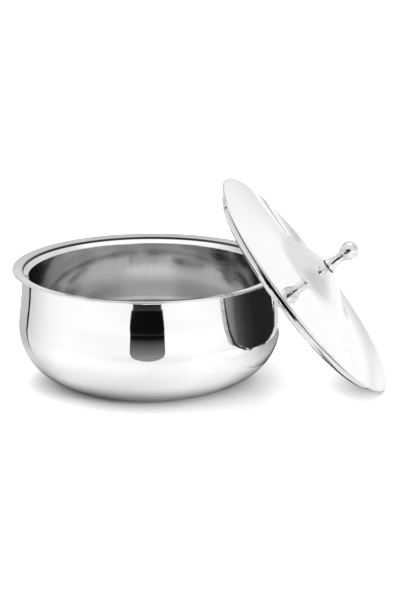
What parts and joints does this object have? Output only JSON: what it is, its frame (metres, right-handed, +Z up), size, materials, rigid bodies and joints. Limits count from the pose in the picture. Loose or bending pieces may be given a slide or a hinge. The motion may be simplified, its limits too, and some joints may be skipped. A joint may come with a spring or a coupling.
{
  "type": "insulated casserole",
  "caption": "Insulated double-wall steel casserole for keeping flatbread hot, with a belly-shaped body, flat rim and loose cone-shaped lid with a ball knob.",
  "frame": {"origin": "middle of the base's underside, on the table", "axes": "+Z up along the pot's axis; the loose lid leans on the rim on the +X side, turned 6.2 degrees towards -Y"},
  "size_m": [0.3248, 0.2449, 0.1752],
  "materials": {
    "polished_steel": "mirror polished",
    "bowl_steel": "polished, faint spin lines",
    "base_steel": "spin brushed",
    "knob_steel": "turned and polished",
    "fastener_steel": "plain",
    "foam": "rigid foam, matt",
    "plug_plastic": "matt",
    "dark_rubber": "matt"
  },
  "bodies": {
    "pot": {"outer_shell": "polished_steel", "inner_bowl": "bowl_steel", "pot_insulation": "foam", "base_plate": "base_steel", "pot_fill_plug": "plug_plastic"},
    "knob_ball": {"knob_ball": "knob_steel"},
    "lid": {"lid_top_shell": "polished_steel", "lid_inner_shell": "bowl_steel", "lid_insulation": "foam", "lid_fill_plug": "plug_plastic", "knob_gasket": "dark_rubber", "knob_stem": "knob_steel", "knob_washer": "fastener_steel", "knob_screw": "fastener_steel"}
  },
  "joints": [
    {"name": "lid_carry", "type": "hinge", "parent": "pot", "child": "knob_ball", "pos_m": [0.08533, -0.00927, 0.13314], "axis": [-0.108, -0.9942, 0], "range_deg": [0, 180]},
    {"name": "lid_level", "type": "hinge", "parent": "knob_ball", "child": "lid", "pos_m": [0.17066, -0.01854, 0.11716], "axis": [-0.108, -0.9942, 0], "range_deg": [-129.25, 0]}
  ],
  "couplings": [
    {"joint": "lid_level", "follows": "lid_carry", "ratio": -0.71778}
  ]
}
